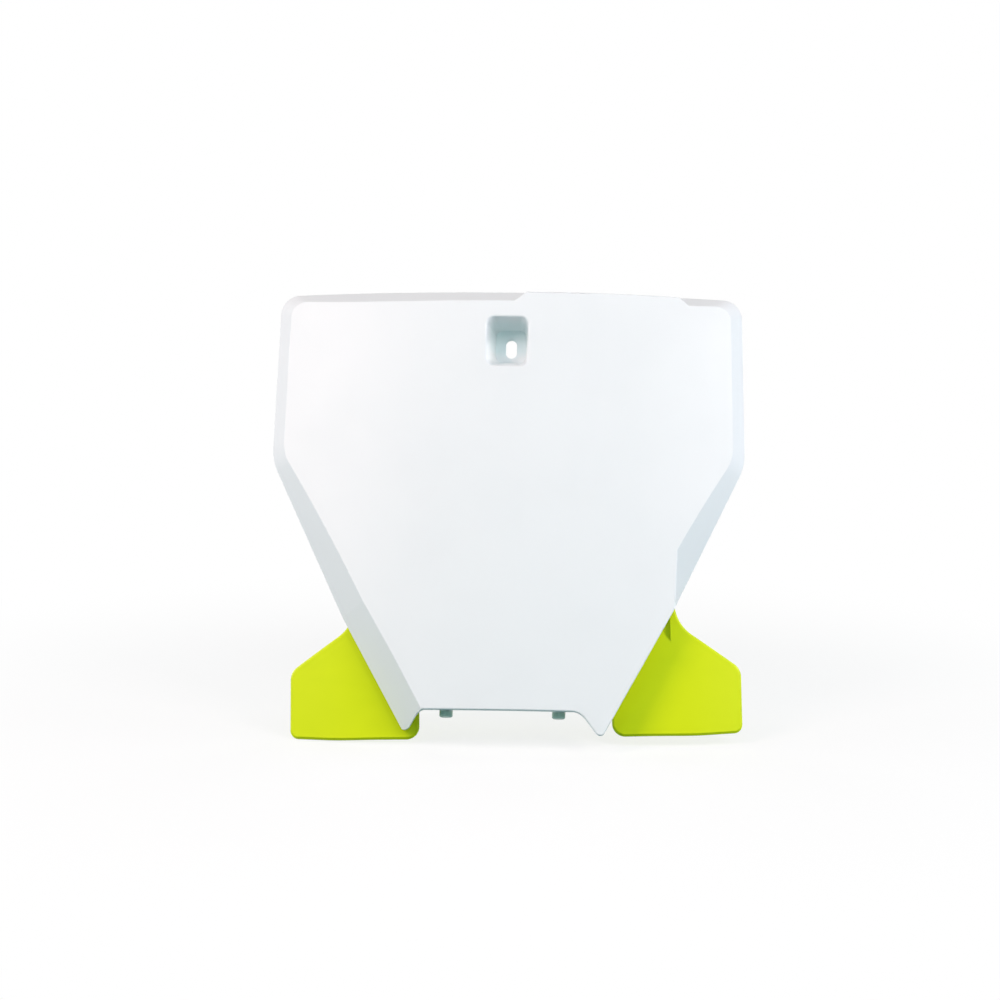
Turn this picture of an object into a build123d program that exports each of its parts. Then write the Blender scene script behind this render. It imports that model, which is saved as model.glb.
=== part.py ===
import os
from math import cos, hypot, radians, sin, tan

from build123d import *

os.makedirs("parts", exist_ok=True)

# sizes in mm and degrees, the board seen square on, heights from a line near its lower edge
lean = 22              # the board leans back with the fork
front_r = 560          # the front is part of a large upright cylinder
wall = 2.8             # moulded wall
rim_depth = 22         # flat rim, behind the middle of the front
lead = 2               # the drafted tray starts this far ahead of the front
edge_r = 0.8           # rounding of the outer edges
past = 20              # cuts run this far past what they cut

# rim of the tray, right half
rim_top = 246.3
face_half = 112.2      # half the width of the front
bevel = 23.4           # the rim is this much wider on each side
rim_half = face_half + bevel
rim_taper = 2.2        # the sides lean in this much from the waist up
rim_crown = 3.9        # the top is an arc of this rise
rim_shoulder = (rim_half - rim_taper, rim_top - rim_crown)
rim_waist = (rim_half, 144.6)
rim_knee = (92.3, 53.4)
rim_foot = (40, -40)
rim_corner_r = 11.5
waist_r = 30

# start of the tray, right half
face_drop = 11.8       # below the top of the rim
face_crown = 7.6
face_top = rim_top - face_drop
face_shoulder = (face_half, face_top - face_crown)
face_waist = (face_half, 153)
face_knee = (73.8, 63.4)
face_foot = (27.1, -31)
face_corner_r = 5

# the two stretches where the front runs out flat and the bevel stops
tab_end = 30.5         # in from the side of the rim
tab_cut = 8.3
tab_base = (0.6, rim_half - tab_end)
tab_tip = (9.8, tab_base[1] - tab_cut)
tab_drop = 5.3         # below the top of the rim
tab_slant = 6.5
tab_root = 11
tab_top = rim_top - tab_drop
tab_fold = tab_top - tab_slant
tab_foot = tab_fold - tab_root
flat_start = (97.5, 98)
flat_end = (96.2, 59.5)
flat_foot = (42.7, -40)
flat_w = 40
flat_edge = 1.8        # the flat side overhangs as a thin panel
flat_draft = (7, 12)   # and the wall behind it is drawn in and up

# lower edge with a pointed toe at each end
hem = -1
toe_left = (-55.6, -13.1)
toe_left_in = -46.7
toe_left_r = 3.4
crotch_left_r = 7
toe_right = (55.5, -16.6)
toe_right_in = 43.4
toe_right_r = 3
crotch_right_r = 10
toe_slope = 0.56
toe_run = 110
toe_back = -2
toe_edge = 4.2         # the right toe is thinned to this depth
lip_depth = 4
lip_ends = (-45.5, 44.8)

# recess for the top screw
screw_drop = 34        # below the top of the rim
screw_height = rim_top - screw_drop
slot_shift = 0.7       # the slot is a little right of the middle of the board
mouth = (23.9, 29.3)
mouth_shift = (-1.25, -1)
mouth_at = (mouth_shift[0], screw_height + mouth_shift[1])
mouth_r = 4.4
mouth_edge = 1.2
seat = (17.4, 19.1)
seat_shift = (0.4, 1.3)
seat_at = (seat_shift[0], screw_height + seat_shift[1])
seat_r = 3.8
seat_depth = 22
seat_wall = 2.6
slot_w = 6.4
slot_l = 11.2

# two lugs that drop into the front mudguard
lug_r = 3.75
lug_x = 31.6
lug_depth = 13
lug_end = -3.8
lug_edge = 0.6
shelf_height = 8
shelf_t = 3
shelf_w = 15
shelf_depth = 18
gusset_h = 20

# posts for the carrier screws
post_spots = [(-70, 66), (70, 66), (-46, 29), (46, 29)]
post_r = 4.6
post_depth = 24
pilot_r = 2.05
pilot_l = 13

# carrier with the two wings, right half
cant = 1.7             # it hangs turned this much about the top screw
sheet = 2.5
wing_x = 128.2
brink_past = 11.8      # the skin is drawn this far past the wings, then trimmed
root = (46, -27.5)
crest = (88, -25)
brink = (wing_x + brink_past, -36.4)
root_r = 60
wing_in_x = 54.5
wing_low = -13.2
wing_low_x = 102
wing_low_out = -11
belly_r = 200          # the lower edge bows a little
wing_shoulder = 25.5
neck = (91.1, 51)
ear_top = 77
ear_in_x = 60
bridge_low = 16
bridge_top = 44
wing_r = 5
shoulder_r = 8.5
heel_r = 7.5
wing_edge = 1.1
neck_r = 22
left_rise = 1.6        # the left wing is a little taller
ear_r = 5
clip = [(88.4, 40.5), (88.4, 60), (72.5, 60)]
clip_depth = 4
clip_wall = 1.8
pad = 13
pad_back = 31
screw_hole_r = 2.25

# self-tapping screws with hexagon heads, from behind
screw_r = 2
screw_l = 17
head_r = 4
head_h = 2.6

# planes of the board: along its face, across it and through its side
# the middle of the slot on the recess floor is the origin of the part
side = Vector(1, 0, 0)
up = Vector(0, sin(radians(lean)), cos(radians(lean)))
out = Vector(0, -cos(radians(lean)), sin(radians(lean)))
foot = out * seat_depth - up * screw_height - side * slot_shift
board = Plane(origin=foot, x_dir=side, z_dir=out)
across = Plane(origin=foot, x_dir=side, z_dir=up * -1)
profile = Plane(origin=foot, x_dir=up, z_dir=side)

# the same planes for the carrier, turned about the top screw
hung_side = side * cos(radians(cant)) + up * sin(radians(cant))
hung_up = up * cos(radians(cant)) - side * sin(radians(cant))
hung_foot = out * seat_depth - hung_up * screw_height
hung = Plane(origin=hung_foot, x_dir=hung_side, z_dir=out)
hung_across = Plane(origin=hung_foot, x_dir=hung_side, z_dir=hung_up * -1)


def flip(point):
    return (-point[0], point[1])


def at(sketch, points):
    # the vertices of a sketch that lie on the points
    found = []
    for vertex in sketch.vertices():
        for point in points:
            if abs(vertex.X - point[0]) < 0.05 and abs(vertex.Y - point[1]) < 0.05:
                found.append(vertex)
    return found


def tray_outline(plane, top, right, corner_r, inset):
    shoulder, waist, knee, toe = right
    with BuildSketch(plane) as outline:
        with BuildLine():
            ThreePointArc(flip(shoulder), (0, top), shoulder)
            Polyline(*right, *[flip(point) for point in reversed(right)])
        make_face()
        if inset > 0:
            offset(amount=-inset, kind=Kind.INTERSECTION, mode=Mode.REPLACE)
        fillet(outline.vertices().sort_by(Axis.Y)[-2:], max(corner_r - inset, 0.8))
        low, high = (knee[1] + waist[1]) / 2, (waist[1] + shoulder[1]) / 2
        fillet(outline.vertices().filter_by(lambda v: low < v.Y < high), waist_r)
    return outline.sketch


def drawn_in(inset):
    # what is cut away behind the flat lower right side
    run = flat_end[0] - flat_foot[0]
    drop = flat_end[1] - flat_foot[1]
    shift = inset * hypot(run, drop) / drop
    inward = up * tan(radians(flat_draft[1])) - side * tan(radians(flat_draft[0])) - out
    low = flat_end[0] ** 2 / (2 * front_r) * tan(radians(flat_draft[1]))
    with BuildPart() as cut:
        with BuildSketch(board):
            with BuildLine():
                Polyline(
                    (flat_end[0] - low * run / drop - shift, flat_end[1] - low),
                    (flat_foot[0] - shift, flat_foot[1]),
                    (rim_waist[0], flat_foot[1]),
                    (rim_waist[0], flat_end[1] - low),
                    close=True,
                )
            make_face()
        extrude(amount=rim_depth + past, dir=inward)
        # outside, the edge of the panel stays
        if inset == 0:
            with BuildSketch(across.offset(-rim_top)):
                with Locations((0, -front_r)):
                    Circle(front_r - flat_edge)
            extrude(amount=2 * rim_top, mode=Mode.INTERSECT)
    return cut.part


def tray(inset):
    # the drafted tray, solid, all its faces moved in by the inset
    slant = inset * 1.4
    face_points = [face_shoulder, face_waist, face_knee, face_foot]
    rim_points = [rim_shoulder, rim_waist, rim_knee, rim_foot]
    face = tray_outline(board.offset(lead), face_top, face_points, face_corner_r, slant)
    rim = tray_outline(board.offset(-rim_depth), rim_top, rim_points, rim_corner_r, slant)
    with BuildPart() as body:
        loft([face, rim], ruled=True)
        # the flat tab at the top and the flat lower right side
        with BuildSketch(board.offset(lead)):
            with BuildLine():
                Polyline(
                    (tab_base[0], tab_foot),
                    (tab_base[0], tab_fold),
                    (tab_tip[0], tab_top),
                    (tab_tip[1], tab_top),
                    (tab_base[1], tab_fold),
                    (tab_base[1], tab_foot),
                    close=True,
                )
            make_face()
            with BuildLine():
                Polyline(
                    (flat_start[0] - flat_w, flat_start[1]),
                    flat_start,
                    flat_end,
                    flat_foot,
                    (flat_foot[0] - flat_w, flat_foot[1]),
                    close=True,
                )
            make_face()
            if inset > 0:
                offset(amount=-inset, kind=Kind.INTERSECTION, mode=Mode.REPLACE)
        extrude(amount=-(rim_depth + lead))
        # the curved front
        with BuildSketch(across.offset(-rim_top - past)):
            with Locations((0, -front_r)):
                Circle(front_r - inset)
        extrude(amount=rim_top - rim_foot[1] + 2 * past, mode=Mode.INTERSECT)
        add(drawn_in(inset), mode=Mode.SUBTRACT)
    return body.part


def front_face(body):
    # the front is the largest face with the large radius
    large = body.faces().filter_by(lambda f: f.radius is not None and abs(f.radius - front_r) < 0.1)
    return large.sort_by(SortBy.AREA)[-1]


with BuildPart() as number_plate:
    add(tray(0))
    # lower edge with its two toes
    with BuildSketch(board.offset(lead + 1)) as keep:
        with BuildLine():
            Polyline(
                (-rim_waist[0] - past, rim_top + past),
                (rim_waist[0] + past, rim_top + past),
                (rim_waist[0] + past, toe_right[1] + toe_run),
                (toe_right[0] + toe_slope * toe_run, toe_right[1] + toe_run),
                toe_right,
                (toe_right_in, hem),
                (toe_left_in, hem),
                toe_left,
                (toe_left[0] - toe_slope * toe_run, toe_left[1] + toe_run),
                (-rim_waist[0] - past, toe_left[1] + toe_run),
                close=True,
            )
        make_face()
        fillet(at(keep, [toe_left]), toe_left_r)
        fillet(at(keep, [toe_right]), toe_right_r)
        fillet(at(keep, [(toe_left_in, hem)]), crotch_left_r)
        fillet(at(keep, [(toe_right_in, hem)]), crotch_right_r)
    extrude(amount=-(rim_depth + past), mode=Mode.INTERSECT)
    # hollow, with the wall cut back behind the right toe
    add(tray(wall), mode=Mode.SUBTRACT)
    with BuildSketch(profile.offset(toe_right_in)):
        with BuildLine():
            Polyline(
                (toe_right[1] - past, -toe_edge),
                (toe_right[1] + toe_right_r, -toe_edge),
                (toe_back, -rim_depth - 1),
                (toe_right[1] - past, -rim_depth - 1),
                close=True,
            )
        make_face()
    extrude(amount=rim_depth, mode=Mode.SUBTRACT)
    # lip along the lower edge
    with BuildSketch(across.offset(-hem)):
        with Locations((0, -front_r)):
            Circle(front_r - wall / 2)
            Circle(front_r - lip_depth, mode=Mode.SUBTRACT)
        with Locations(((lip_ends[0] + lip_ends[1]) / 2, 0)):
            Rectangle(lip_ends[1] - lip_ends[0], 2 * rim_depth, mode=Mode.INTERSECT)
    extrude(amount=-wall)
    # recess for the top screw
    with BuildSketch(board.offset(-wall / 2)):
        with Locations(mouth_at):
            RectangleRounded(mouth[0] + 2 * seat_wall, mouth[1] + 2 * seat_wall, mouth_r + seat_wall)
    with BuildSketch(board.offset(-seat_depth - seat_wall)):
        with Locations(seat_at):
            RectangleRounded(seat[0] + 2 * seat_wall, seat[1] + 2 * seat_wall, seat_r + seat_wall)
    loft()
    with BuildSketch(board.offset(lead / 4)):
        with Locations(mouth_at):
            RectangleRounded(mouth[0], mouth[1], mouth_r)
    with BuildSketch(board.offset(-seat_depth)):
        with Locations(seat_at):
            RectangleRounded(seat[0], seat[1], seat_r)
    loft(mode=Mode.SUBTRACT)
    with BuildSketch(board.offset(-seat_depth)):
        with Locations((slot_shift, screw_height)):
            SlotOverall(slot_l, slot_w, rotation=90)
    extrude(amount=-2 * seat_wall, mode=Mode.SUBTRACT)
    # shelves, gussets and lugs
    with BuildSketch(across.offset(-shelf_height)):
        with Locations((-lug_x, -(shelf_depth + wall) / 2), (lug_x, -(shelf_depth + wall) / 2)):
            Rectangle(shelf_w, shelf_depth - wall)
    extrude(amount=-shelf_t)
    with BuildSketch(profile.offset(-lug_x), profile.offset(lug_x)):
        with BuildLine():
            Polyline(
                (shelf_height, -wall),
                (shelf_height, -shelf_depth),
                (shelf_height + gusset_h, -wall),
                close=True,
            )
        make_face()
    extrude(amount=wall / 2, both=True)
    with BuildSketch(across.offset(-shelf_height)):
        with Locations((-lug_x, -lug_depth), (lug_x, -lug_depth)):
            Circle(lug_r)
    extrude(amount=shelf_height - lug_end)
    lug_ends = number_plate.faces().filter_by(Axis(foot, up)).sort_by(Axis(foot, up))[:2]
    chamfer(lug_ends.edges(), lug_edge)
    # posts for the carrier screws
    with BuildSketch(board.offset(-post_depth)):
        with Locations(*post_spots):
            Circle(post_r)
    extrude(until=Until.NEXT)
    with BuildSketch(board.offset(-post_depth)):
        with Locations(*post_spots):
            Circle(pilot_r)
    extrude(amount=pilot_l, mode=Mode.SUBTRACT)
    # rounded edges of the front and of the recess
    fillet(front_face(number_plate).inner_wires()[0].edges(), mouth_edge)
    fillet(front_face(number_plate).outer_wire().edges(), edge_r)


def behind(plane, back):
    # all that lies behind the front of the carrier
    near = (root[0], root[1] - back)
    top = (crest[0], crest[1] - back)
    far = (brink[0], brink[1] - back)
    with BuildSketch(plane) as region:
        with BuildLine():
            ThreePointArc(flip(far), flip(top), flip(near))
            Line(flip(near), near)
            ThreePointArc(near, top, far)
            Polyline(far, (far[0], far[1] - past), (-far[0], far[1] - past), flip(far))
        make_face()
        fillet(at(region, [near, flip(near)]), root_r)
    return region.sketch


def wing(rise):
    # outline of one half of the carrier, from the bridge round the wing to the ear
    return [
        (wing_in_x, bridge_low),
        (wing_in_x, wing_low),
        (wing_low_x, wing_low),
        (wing_x, wing_low_out),
        (wing_x, wing_shoulder + rise),
        (neck[0], neck[1] + rise),
        (neck[0], ear_top),
        (ear_in_x, ear_top),
        (ear_in_x, bridge_top),
    ]


right_wing = wing(0)
left_wing = [flip(point) for point in wing(left_rise)]

with BuildPart() as wing_carrier:
    over = hung_across.offset(-ear_top - past)
    span = ear_top - wing_low + 2 * past
    extrude(behind(over, 0), amount=span)
    extrude(behind(over, sheet), amount=span, mode=Mode.SUBTRACT)
    # outline of the wings, the ears and the bridge
    with BuildSketch(hung) as outline:
        with BuildLine():
            Polyline(*right_wing, *reversed(left_wing), close=True)
        make_face()
        rounding = [ear_r, heel_r, belly_r, wing_r, shoulder_r, neck_r, ear_r, ear_r, ear_r]
        for right, left, radius in zip(right_wing, left_wing, rounding):
            fillet(at(outline, [right, left]), radius)
    extrude(amount=brink[1] - sheet - past, mode=Mode.INTERSECT)
    skin = wing_carrier.faces().filter_by(lambda f: f.normal_at().dot(out) > 0.8).edges()
    seams = skin.filter_by(Axis(hung_foot, hung_up))
    seams = seams.filter_by(lambda e: abs(hung.to_local_coords(e.center()).X) < wing_in_x - 1)
    chamfer(skin - seams, wing_edge)
    # pads that meet the posts
    with BuildSketch(board.offset(-post_depth)):
        with Locations(*post_spots):
            Rectangle(pad, pad)
    extrude(amount=-(pad_back - post_depth))
    with BuildSketch(board.offset(-post_depth)):
        with Locations(*post_spots):
            Circle(screw_hole_r)
    extrude(amount=-(pad_back - post_depth), mode=Mode.SUBTRACT)
    # a blind clip pocket at the neck of each wing
    with BuildSketch(hung.offset(crest[1] - sheet / 2)):
        for points in (clip, [flip(point) for point in clip]):
            with BuildLine():
                Polyline(*points, close=True)
            make_face()
        offset(amount=clip_wall, kind=Kind.INTERSECTION, mode=Mode.REPLACE)
    extrude(amount=-(clip_depth + clip_wall - sheet / 2))
    with BuildSketch(hung.offset(crest[1] + 1)):
        for points in (clip, [flip(point) for point in clip]):
            with BuildLine():
                Polyline(*points, close=True)
            make_face()
    extrude(amount=-(clip_depth + 1), mode=Mode.SUBTRACT)

with BuildPart() as wing_screws:
    with BuildSketch(board.offset(-pad_back)):
        with Locations(*post_spots):
            Circle(screw_r)
    extrude(amount=screw_l)
    with BuildSketch(board.offset(-pad_back)):
        with Locations(*post_spots):
            RegularPolygon(head_r, 6)
    extrude(amount=-head_h)

number_plate.part.label = "number_plate"
wing_carrier.part.label = "wing_carrier"
wing_screws.part.label = "wing_screws"
export_step(number_plate.part, "parts/number_plate.step")
export_step(wing_carrier.part, "parts/wing_carrier.step")
export_step(wing_screws.part, "parts/wing_screws.step")
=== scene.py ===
import math

import bpy
from mathutils import Matrix, Vector


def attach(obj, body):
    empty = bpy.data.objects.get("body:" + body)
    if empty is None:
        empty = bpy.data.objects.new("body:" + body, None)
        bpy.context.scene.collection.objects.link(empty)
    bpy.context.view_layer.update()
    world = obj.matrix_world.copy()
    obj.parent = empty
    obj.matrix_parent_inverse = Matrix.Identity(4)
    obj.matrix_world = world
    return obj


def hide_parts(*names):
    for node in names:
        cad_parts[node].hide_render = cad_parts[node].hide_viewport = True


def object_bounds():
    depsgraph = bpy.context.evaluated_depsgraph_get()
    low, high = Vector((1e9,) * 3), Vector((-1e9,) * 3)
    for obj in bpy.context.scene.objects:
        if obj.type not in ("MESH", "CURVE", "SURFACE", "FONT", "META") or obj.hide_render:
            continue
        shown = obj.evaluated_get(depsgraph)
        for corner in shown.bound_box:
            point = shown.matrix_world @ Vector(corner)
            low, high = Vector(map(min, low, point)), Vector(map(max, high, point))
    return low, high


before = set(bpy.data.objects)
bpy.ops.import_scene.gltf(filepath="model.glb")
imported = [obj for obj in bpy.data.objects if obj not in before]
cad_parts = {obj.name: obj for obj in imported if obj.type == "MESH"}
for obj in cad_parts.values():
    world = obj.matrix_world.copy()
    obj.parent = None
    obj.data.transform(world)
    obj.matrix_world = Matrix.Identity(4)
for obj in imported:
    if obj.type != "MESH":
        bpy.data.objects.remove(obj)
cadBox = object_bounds()
cadMiddle = (cadBox[0] + cadBox[1]) / 2
print("frame:", ", ".join(sorted(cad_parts)))

board = {
    "lean": math.radians(22),                            # it leans back this far
    "slotShift": 0.0007,                                 # the top screw's slot, right of the middle
    "seatDepth": 0.022,                                  # the top screw's seat, behind the front
    "screwHeight": 0.2123,                               # the top screw, above the lower edge
}
lean = board["lean"]
boardUp = Vector((0, math.sin(lean), math.cos(lean)))
boardOut = Vector((0, -math.cos(lean), math.sin(lean)))
boardFoot = Vector((-board["slotShift"], 0, 0)) + boardOut * board["seatDepth"]
boardFoot -= boardUp * board["screwHeight"]


def onBoard(x, high, deep):                              # a place on the board, seen square on
    return boardFoot + Vector((x, 0, 0)) + boardUp * high - boardOut * deep


class Wire:                                              # a socket that takes part in sums
    def __init__(self, tree, socket=None):
        self.tree = tree
        self.socket = socket

    def node(self, kind, settings=None, sockets=None, outlet=0):
        made = self.tree.nodes.new(kind)
        for key, value in (settings or {}).items():
            setattr(made, key, value)
        for key, value in (sockets or {}).items():
            for one in value if isinstance(value, list) else [value]:
                if isinstance(one, Wire):
                    self.tree.links.new(one.socket, made.inputs[key])
                else:
                    made.inputs[key].default_value = one
        if not made.outputs:
            return made
        return Wire(self.tree, made.outputs[outlet])

    def sum(self, operation, first, second):
        return self.node("ShaderNodeMath", {"operation": operation}, {0: first, 1: second})

    def __add__(self, other):
        return self.sum("ADD", self, other)

    def __radd__(self, other):
        return self.sum("ADD", other, self)

    def __sub__(self, other):
        return self.sum("SUBTRACT", self, other)

    def __rsub__(self, other):
        return self.sum("SUBTRACT", other, self)

    def __mul__(self, other):
        return self.sum("MULTIPLY", self, other)

    def __rmul__(self, other):
        return self.sum("MULTIPLY", other, self)

    def rise(self, low, high):                           # 0 below low, 1 above high, smooth between
        settings = {"interpolation_type": "SMOOTHSTEP"}
        sockets = {"Value": self, "From Min": low, "From Max": high}
        return self.node("ShaderNodeMapRange", settings, sockets)

    def along(self, axis):                               # how far a point lies along an axis
        settings = {"operation": "DOT_PRODUCT"}
        return self.node("ShaderNodeVectorMath", settings, {0: self, 1: axis}, "Value")

    def noise(self, size, detail=2.0, stretch=None):     # about 0.5, with blotches of the size in metres
        place = self
        if stretch:
            settings = {"operation": "MULTIPLY"}
            place = self.node("ShaderNodeVectorMath", settings, {0: self, 1: stretch})
        sockets = {"Vector": place, "Scale": 1 / size, "Detail": detail}
        return self.node("ShaderNodeTexNoise", {"noise_dimensions": "3D"}, sockets, "Fac")

    def swing(self, spread):                             # a noise as a value about 0
        return (self - 0.5) * spread

    def blend(self, first, second):                      # colours, mixed by this value
        sides = [side if isinstance(side, Wire) else (*side, 1) for side in (first, second)]
        sockets = {0: self, 6: sides[0], 7: sides[1]}    # 6 and 7 in and 2 out are Mix's colour sockets
        return self.node("ShaderNodeMix", {"data_type": "RGBA"}, sockets, 2)

    def raised(self, height):                            # a value as a height along z
        return self.node("ShaderNodeCombineXYZ", {}, {"Z": height})

    def moved(self, shape, height):                      # a shape moved along z
        sockets = {"Geometry": shape, "Translation": self.raised(height)}
        return self.node("GeometryNodeTransform", {}, sockets)


def newMaterial(name):
    made = bpy.data.materials.new(name)
    made.use_nodes = True
    made.node_tree.nodes.clear()
    return made, Wire(made.node_tree)


def finishMaterial(wire, sockets):                       # one shader on the output
    shader = wire.node("ShaderNodeBsdfPrincipled", {}, sockets)
    wire.node("ShaderNodeOutputMaterial", {}, {"Surface": shader})


def dress(node, material):
    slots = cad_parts[node].data.materials
    slots.clear()
    slots.append(material)


mouldLook = {                                            # what both plastics share
    "turned": (0.1, 0.4),                                # a face that looks back this far is on the inside
    "coarse": 3,                                         # the inside's grain, times the front's
    "coarseHeight": 2.0,
    "bump": 0.35,
    "index": 1.5,
}

whiteLook = {
    "name": "whitePlastic",
    "colour": (0.86, 0.88, 0.89),
    "dull": (0.81, 0.835, 0.848),
    "backDull": 0.3,
    "blotch": {"size": 0.05, "span": (0.35, 0.75), "share": 0.35},
    "marks": {                                           # the melt ran up and down and left specks
        "flow": {"size": 0.03, "stretch": (1, 0.2, 0.2), "span": (0.5, 0.8), "share": 0.15},
        "speck": {"size": 0.0016, "stretch": None, "span": (0.66, 0.78), "share": 0.1},
    },
    # painted shade: boxes where the white is coloured darker and cooler for the shade that falls there
    "paintedShades": {
        "recessShade": {                                      # painted shade: the recess is coloured cooler and darker, most in its upper half, for the light that goes round inside it
            "colour": (0.765, 0.85, 0.86),
            "middle": Vector((-0.0015, 0, 0)) + boardUp * 0.007,     # from the top screw's seat
            "half": (0.0145, 0.0135, 0.0215),
            "soft": (0.001, 0.006, 0.014),
        },
        "lugShade": {                                        # painted shade: the lugs are coloured darker and teal for the shade of the tray over them
            "colour": (0.59, 0.74, 0.64),
            "middle": onBoard(0, -0.0024, 0.013),
            "half": (0.037, 0.0026, 0.005),
            "soft": (0.0005, 0.0015, 0.001),
        },
    },
    "roughness": 0.38,
    "backRoughness": 0.5,
    "uneven": 0.12,
    "gloss": 0.33,
    "grain": 0.0007,
    "grainHeight": 0.00004,
}

yellowLook = {
    "name": "yellowPlastic",
    "colour": (0.71, 0.82, 0.004),
    "dull": (0.625, 0.76, 0.002),
    "backDull": 0.3,
    "blotch": {"size": 0.03, "span": (0.35, 0.8), "share": 0.3},
    "marks": {                                           # the melt ran out along the wings
        "flow": {"size": 0.02, "stretch": (0.25, 1, 1), "span": (0.5, 0.8), "share": 0.25},
    },
    "paintedShades": {},
    "roughness": 0.42,
    "backRoughness": 0.54,
    "uneven": 0.1,
    "gloss": 0.13,
    "grain": 0.0006,
    "grainHeight": 0.00004,
}


def within(point, place):                                # 1 inside a box square to the board, 0 outside
    far = point.node("ShaderNodeVectorMath", {"operation": "SUBTRACT"}, {0: point, 1: place["middle"]})
    inside = 1
    for axis, half, soft in zip(((1, 0, 0), boardUp, boardOut), place["half"], place["soft"]):
        apart = point.sum("ABSOLUTE", far.along(axis), 0)
        inside = inside * (1 - apart.rise(half - soft, half))
    return inside


def shown(noise, mark):                                  # where a mark shows, as a share of the dull tone
    return noise.rise(*mark["span"]) * mark["share"]


def plastic(look):
    made, wire = newMaterial(look["name"])
    point = wire.node("ShaderNodeTexCoord", outlet="Object")
    facing = wire.node("ShaderNodeTexCoord", outlet="Normal").along(boardOut)
    back = (0 - facing).rise(*mouldLook["turned"])
    blotch = point.noise(look["blotch"]["size"])
    tone = shown(blotch, look["blotch"])
    for mark in look["marks"].values():
        tone = tone + shown(point.noise(mark["size"], stretch=mark["stretch"]), mark)
    tone = tone + back * look["backDull"]
    paint = tone.blend(look["colour"], look["dull"])
    # painted shade: inside each box the colour turns darker and cooler
    for place in look["paintedShades"].values():
        paint = within(point, place).blend(paint, place["colour"])
    grain = point.noise(look["grain"], detail=1.0)
    coarse = point.noise(look["grain"] * mouldLook["coarse"], detail=1.0)
    height = grain + coarse * back * mouldLook["coarseHeight"]
    sockets = {"Strength": mouldLook["bump"], "Distance": look["grainHeight"], "Height": height}
    rough = look["roughness"] + back * (look["backRoughness"] - look["roughness"])
    finishMaterial(wire, {
        "Base Color": paint,
        "Roughness": rough + blotch.swing(look["uneven"]),
        "Normal": wire.node("ShaderNodeBump", {}, sockets),
        "Specular IOR Level": look["gloss"],
        "IOR": mouldLook["index"],
    })
    return made


zincLook = {
    "colour": (0.62, 0.63, 0.62),
    "stain": (0.44, 0.44, 0.40),
    "mottle": {"size": 0.0025, "detail": 3.0, "span": (0.4, 0.75)},
    "roughness": 0.34,
    "uneven": 0.3,
    "scratch": {"size": 0.0008, "stretch": (1, 0.15, 0.15), "bump": 0.3, "height": 0.00003},
}


def zincPlate(look):
    made, wire = newMaterial("zincPlate")
    point = wire.node("ShaderNodeTexCoord", outlet="Object")
    mottle = point.noise(look["mottle"]["size"], look["mottle"]["detail"])
    stain = mottle.rise(*look["mottle"]["span"])
    fine = look["scratch"]
    scratch = point.noise(fine["size"], detail=1.0, stretch=fine["stretch"])
    sockets = {"Strength": fine["bump"], "Distance": fine["height"], "Height": scratch}
    finishMaterial(wire, {
        "Base Color": stain.blend(look["colour"], look["stain"]),
        "Roughness": look["roughness"] + mottle.swing(look["uneven"]),
        "Metallic": 1.0,
        "Normal": wire.node("ShaderNodeBump", {}, sockets),
    })
    return made


white = plastic(whiteLook)
yellow = plastic(yellowLook)
zinc = zincPlate(zincLook)
dress("number_plate", white)
dress("wing_carrier", yellow)
dress("wing_screws", zinc)
print("materials:", white.name, yellow.name, zinc.name)


def openTree(name, sizes):                               # a tree with one named input for each size
    tree = bpy.data.node_groups.new(name, "GeometryNodeTree")
    tree.interface.new_socket("Spots", in_out="INPUT", socket_type="NodeSocketGeometry")
    for size in sizes:
        tree.interface.new_socket(size, in_out="INPUT", socket_type="NodeSocketFloat")
    tree.interface.new_socket("Geometry", in_out="OUTPUT", socket_type="NodeSocketGeometry")
    wire = Wire(tree)
    outlets = wire.node("NodeGroupInput").socket.node.outputs
    return wire, {outlet.name: Wire(tree, outlet) for outlet in outlets if outlet.name}


def plant(wire, given, shape, turn, material):           # one shape on each spot, square to the board
    sockets = {"Points": given["Spots"], "Instance": shape, "Rotation": (math.pi / 2 - lean, 0, 0)}
    placed = wire.node("GeometryNodeInstanceOnPoints", {}, sockets)
    turned = wire.node("GeometryNodeRotateInstances", {}, {"Instances": placed, "Rotation": turn})
    solid = wire.node("GeometryNodeRealizeInstances", {}, {"Geometry": turned})
    done = wire.node("GeometryNodeSetMaterial", {}, {"Geometry": solid, "Material": material})
    wire.node("NodeGroupOutput", {}, {"Geometry": done})


crease = math.radians(35)                                # edges that turn more than this stay sharp


def grow(name, spots, sizes, tree):                      # the tree's result as a plain mesh
    mesh = bpy.data.meshes.new(name + "Spots")
    mesh.from_pydata(spots, [], [])
    piece = bpy.data.objects.new(name, mesh)
    bpy.context.collection.objects.link(piece)
    modifier = piece.modifiers.new(name, "NODES")
    modifier.node_group = tree
    for item in tree.interface.items_tree:
        if item.in_out == "INPUT" and item.name in sizes:
            modifier[item.identifier] = sizes[item.name]
    graph = bpy.context.evaluated_depsgraph_get()
    grown = bpy.data.meshes.new_from_object(piece.evaluated_get(graph))
    piece.modifiers.remove(modifier)
    piece.data = grown
    grown.shade_smooth()
    grown.set_sharp_from_angle(angle=crease)
    return piece


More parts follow.
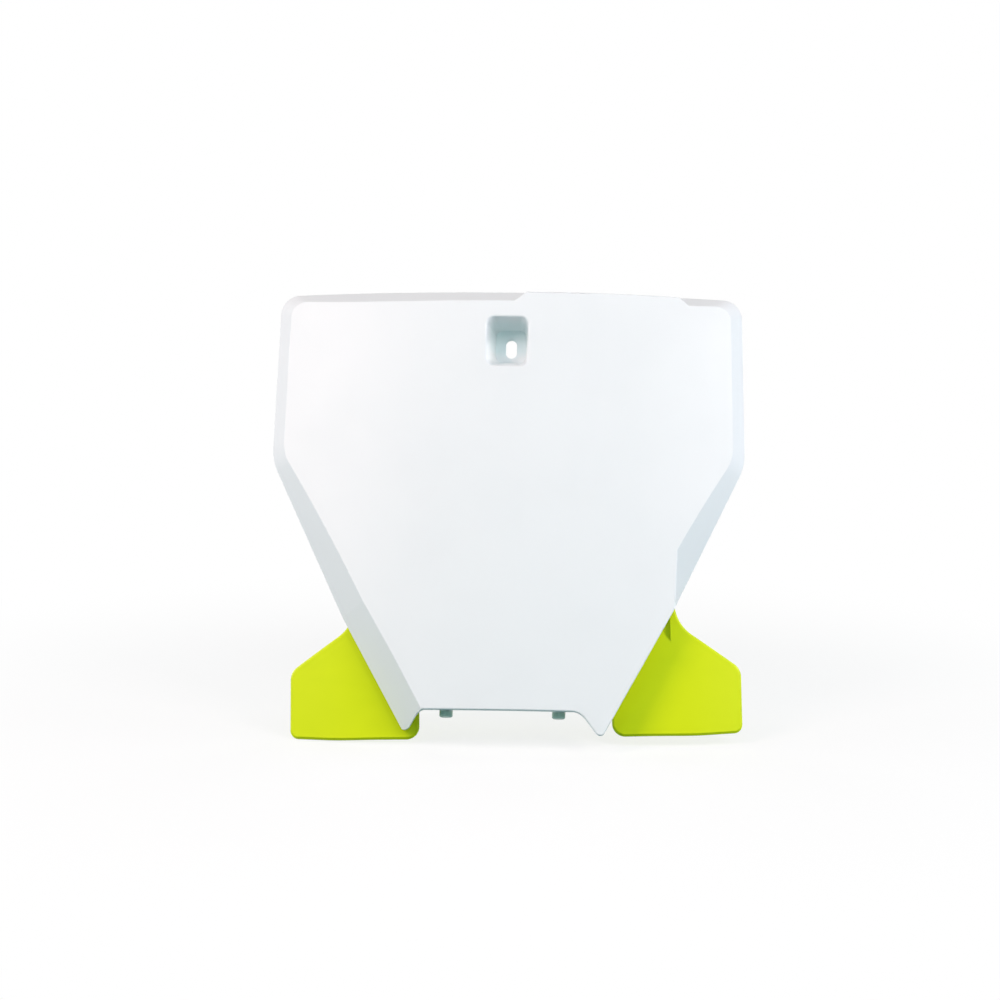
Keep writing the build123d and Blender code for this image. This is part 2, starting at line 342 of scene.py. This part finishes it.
screwLook = {
    "spots": [(-0.070, 0.066), (0.070, 0.066), (-0.046, 0.029), (0.046, 0.029)],
    "back": 0.031,                                       # the heads bear on the pads here
    "turn": math.pi / 3,                                 # each is driven home at its own angle, up to this
    "seed": 5,
    "sizes": {
        "Head": 0.004,
        "HeadHeight": 0.0028,
        "Flange": 0.0052,
        "FlangeHeight": 0.0009,
        "Core": 0.0016,
        "Length": 0.0165,
        "Tip": 0.0025,
        "Thread": 0.00042,
        "Turns": 9.5,
    },
    "corner": 0.83,                                      # where a cone takes the corners off the head
    "flare": 1.75,                                       # how fast that cone widens
    "cross": (0.0046, 0.00085, 0.0032),                  # the bars of the driver's cross
    "flangeTop": 0.93,
    "nose": 0.0004,
    "threadFrom": 0.15,                                  # both ends of the thread, in lengths of the tip
    "threadShort": 1.2,
    "headSides": 6,
    "roundSides": 48,
    "shankSides": 24,
    "turnPoints": 24,
    "ridgeSides": 4,
}


def carrierScrews(look):
    wire, given = openTree("carrierScrews", look["sizes"])
    high, core, tip = given["HeadHeight"], given["Core"], given["Tip"]
    straight = given["Length"] - tip
    sockets = {"Vertices": look["headSides"], "Radius": given["Head"], "Depth": high}
    hexagon = wire.moved(wire.node("GeometryNodeMeshCylinder", {}, sockets), high * -0.5)
    narrow = given["Head"] * look["corner"]
    sockets = {
        "Vertices": look["roundSides"],
        "Radius Bottom": narrow,
        "Radius Top": narrow + high * look["flare"],
        "Depth": high,
    }
    cone = wire.moved(wire.node("GeometryNodeMeshCone", {}, sockets), high * -1.0)
    sockets = {"Mesh 2": [hexagon, cone]}
    head = wire.node("GeometryNodeMeshBoolean", {"operation": "INTERSECT"}, sockets)
    reach, width, depth = look["cross"]
    bars = []
    for size in ((reach, width, depth), (width, reach, depth)):
        bars.append(wire.moved(wire.node("GeometryNodeMeshCube", {}, {"Size": size}), high * -1.0))
    sockets = {"Mesh 1": head, "Mesh 2": bars}
    head = wire.node("GeometryNodeMeshBoolean", {"operation": "DIFFERENCE"}, sockets)
    wide, thick = given["Flange"], given["FlangeHeight"]
    sockets = {
        "Vertices": look["roundSides"],
        "Radius Bottom": wide * look["flangeTop"],
        "Radius Top": wide,
        "Depth": thick,
    }
    flange = wire.moved(wire.node("GeometryNodeMeshCone", {}, sockets), thick * -1.0)
    sockets = {"Vertices": look["shankSides"], "Radius": core, "Depth": straight}
    shank = wire.moved(wire.node("GeometryNodeMeshCylinder", {}, sockets), straight * 0.5)
    sockets = {
        "Vertices": look["shankSides"],
        "Radius Bottom": core,
        "Radius Top": look["nose"],
        "Depth": tip,
    }
    nose = wire.moved(wire.node("GeometryNodeMeshCone", {}, sockets), straight)
    sockets = {
        "Resolution": look["turnPoints"],
        "Rotations": given["Turns"],
        "Start Radius": core,
        "End Radius": core,
        "Height": given["Length"] - tip * look["threadShort"],
    }
    helix = wire.node("GeometryNodeCurveSpiral", {}, sockets)
    helix = wire.moved(helix, tip * look["threadFrom"])
    helix = wire.node("GeometryNodeSetCurveNormal", {"mode": "Z_UP"}, {"Curve": helix})
    sockets = {"Resolution": look["ridgeSides"], "Radius": given["Thread"]}
    ridge = wire.node("GeometryNodeCurvePrimitiveCircle", {"mode": "RADIUS"}, sockets)
    sockets = {"Curve": helix, "Profile Curve": ridge, "Fill Caps": True}
    thread = wire.node("GeometryNodeCurveToMesh", {}, sockets)
    sockets = {"Geometry": [head, flange, shank, nose, thread]}
    screw = wire.node("GeometryNodeJoinGeometry", {}, sockets)
    sockets = {0: (0, 0, 0), 1: (0, 0, look["turn"]), "Seed": look["seed"]}
    turn = wire.node("FunctionNodeRandomValue", {"data_type": "FLOAT_VECTOR"}, sockets)
    plant(wire, given, screw, turn, zinc)
    spots = [onBoard(x, up, look["back"]) for x, up in look["spots"]]
    return grow("carrierScrews", spots, look["sizes"], wire.tree)


screws = carrierScrews(screwLook)
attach(screws, "root")
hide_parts("wing_screws")
print("screws:", len(screws.data.polygons), "faces")


floorLook = {
    "half": 30,
    "glow": 0.78,                                        # share of plain white beside the object
    "near": 0.2,                                         # it rises to all white between these
    "far": 0.5,
    "seen": (0.96, 0.97, 0.97),
    "bounce": (0.13, 0.26, 0.27),                        # its colour for the light it sends back
}


def pureWhite(wire):                                     # rays that show the background
    outlets = wire.node("ShaderNodeLightPath").socket.node.outputs
    names = ("Is Camera Ray", "Is Glossy Ray", "Is Transmission Ray")
    camera, glossy, through = [Wire(wire.tree, outlets[name]) for name in names]
    return wire.sum("MAXIMUM", wire.sum("MAXIMUM", camera, glossy), through)


def layFloor(look):
    half, low = look["half"], cadBox[0].z
    mesh = bpy.data.meshes.new("floor")
    corners = [(-half, -half, low), (half, -half, low), (half, half, low), (-half, half, low)]
    mesh.from_pydata(corners, [], [(0, 1, 2, 3)])
    floor = bpy.data.objects.new("floor", mesh)
    bpy.context.collection.objects.link(floor)
    made, wire = newMaterial("floorPaper")
    point = wire.node("ShaderNodeTexCoord", outlet="Object")
    sockets = {0: point, 1: cadMiddle}
    apart = wire.node("ShaderNodeVectorMath", {"operation": "DISTANCE"}, sockets, "Value")
    seen = pureWhite(wire)
    sockets = {"Color": seen.blend(look["bounce"], look["seen"])}
    paper = wire.node("ShaderNodeBsdfDiffuse", {}, sockets)
    glow = wire.node("ShaderNodeEmission", {}, {"Color": (1, 1, 1, 1), "Strength": 1.0})
    share = seen * (look["glow"] + (1 - look["glow"]) * apart.rise(look["near"], look["far"]))
    mixed = wire.node("ShaderNodeMixShader", {}, {0: share, 1: paper, 2: glow})
    wire.node("ShaderNodeOutputMaterial", {}, {"Surface": mixed})
    mesh.materials.append(made)


skyLook = {"colour": (0.38, 0.92, 1.0), "strength": 0.08}


def hangSky(look):
    world = bpy.data.worlds.new("studio")
    world.use_nodes = True
    world.node_tree.nodes.clear()
    wire = Wire(world.node_tree)
    sockets = {"Color": (*look["colour"], 1), "Strength": look["strength"]}
    soft = wire.node("ShaderNodeBackground", {}, sockets)
    plain = wire.node("ShaderNodeBackground", {}, {"Color": (1, 1, 1, 1), "Strength": 1.0})
    mixed = wire.node("ShaderNodeMixShader", {}, {0: pureWhite(wire), 1: soft, 2: plain})
    wire.node("ShaderNodeOutputWorld", {}, {"Surface": mixed})
    bpy.context.scene.world = world


lampLooks = {                                            # place, width and height, watts, colour
    "front": ((0.0, -0.95, 1.05), (0.7, 0.5), 2.6, (0.84, 0.88, 1)),
    "low": ((0.0, -1.35, 0.45), (0.9, 0.4), 1.3, (0.35, 1, 0.98)),
    "left": ((-0.82, -0.90, 0.80), (0.6, 0.7), 11.2, (1, 0.79, 0.755)),
    "right": ((0.88, -0.86, 0.74), (0.6, 0.7), 9.0, (1, 0.92, 0.89)),
    "sideLeft": ((-1.45, -0.35, 0.10), (0.6, 0.9), 8.2, (0.96, 0.96, 1)),
    "sideRight": ((1.45, -0.30, 0.10), (0.6, 0.9), 10.0, (0.9, 0.88, 1)),
    "backLeft": ((-1.0, 1.15, 0.0), (0.8, 0.8), 13.0, (1, 0.97, 0.96)),
    "backRight": ((1.0, 1.15, 0.0), (0.8, 0.8), 13.0, (1, 0.97, 0.96)),
}


def hangLamps(looks):
    for name, (place, size, power, colour) in looks.items():
        lamp = bpy.data.lights.new(name, "AREA")
        lamp.shape = "RECTANGLE"
        lamp.size, lamp.size_y = size
        lamp.energy = power
        lamp.color = colour
        holder = bpy.data.objects.new(name, lamp)
        holder.location = place
        holder.rotation_euler = (cadMiddle - Vector(place)).to_track_quat("-Z", "Y").to_euler()
        bpy.context.collection.objects.link(holder)


shot = {
    "lens": 108,
    "sensor": 36,
    "farthest": 200,
    "distance": 1.65,
    "right": math.radians(2.0),
    "above": math.radians(10.0),
    "roll": math.radians(0.437),
    "aim": Vector((-0.00253, -0.09993, -0.07102)),
}


def setCamera(look):
    camera = bpy.data.cameras.new("camera")
    camera.lens = look["lens"]
    camera.sensor_width = look["sensor"]
    camera.clip_end = look["farthest"]
    right, above = look["right"], look["above"]
    level = math.cos(above)
    back = Vector((math.sin(right) * level, -math.cos(right) * level, math.sin(above)))
    across = Vector((math.cos(right), math.sin(right), 0))
    upright = back.cross(across)
    rolled = across * math.cos(look["roll"]) + upright * math.sin(look["roll"])
    turned = Matrix((rolled, back.cross(rolled), back)).transposed()
    holder = bpy.data.objects.new("camera", camera)
    holder.matrix_world = Matrix.Translation(look["aim"] + back * look["distance"]) @ turned.to_4x4()
    bpy.context.collection.objects.link(holder)
    bpy.context.scene.camera = holder


layFloor(floorLook)
hangSky(skyLook)
hangLamps(lampLooks)
setCamera(shot)
bpy.context.scene.view_settings.view_transform = "Standard"
print("stage set,", len(lampLooks), "lamps")
